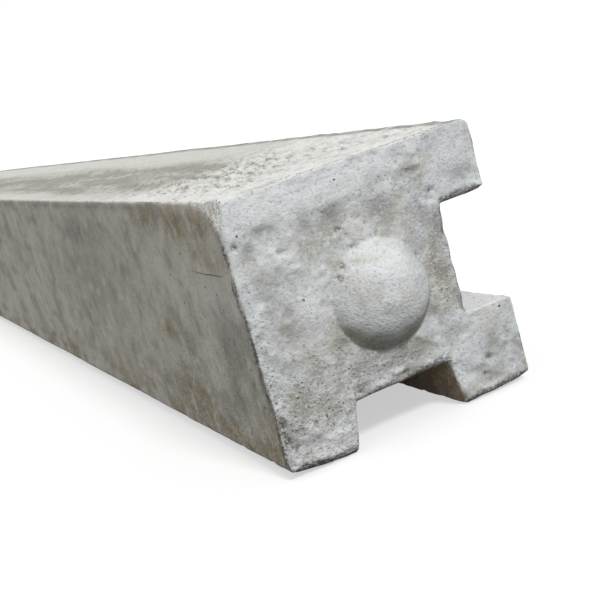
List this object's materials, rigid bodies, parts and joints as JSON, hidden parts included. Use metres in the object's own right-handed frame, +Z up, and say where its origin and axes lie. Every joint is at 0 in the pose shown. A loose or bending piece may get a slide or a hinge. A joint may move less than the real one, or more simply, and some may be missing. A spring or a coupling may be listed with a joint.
{
  "type": "concrete fence post",
  "caption": "Slotted concrete corner fence post lying on its bed face, with panel slots in adjoining sides and a half-ball cast on its top end.",
  "frame": {"origin": "middle of the footprint, on the floor that the post lies on", "axes": "+Y along the post from its half-ball end to its foot, +Z up out of the trowelled face, +X out of the side slot"},
  "size_m": [0.117, 2.44, 0.116],
  "materials": {
    "concrete": "cast and trowelled concrete, rough, pitted and stained"
  },
  "bodies": {
    "root": {"post": "concrete"}
  },
  "joints": []
}
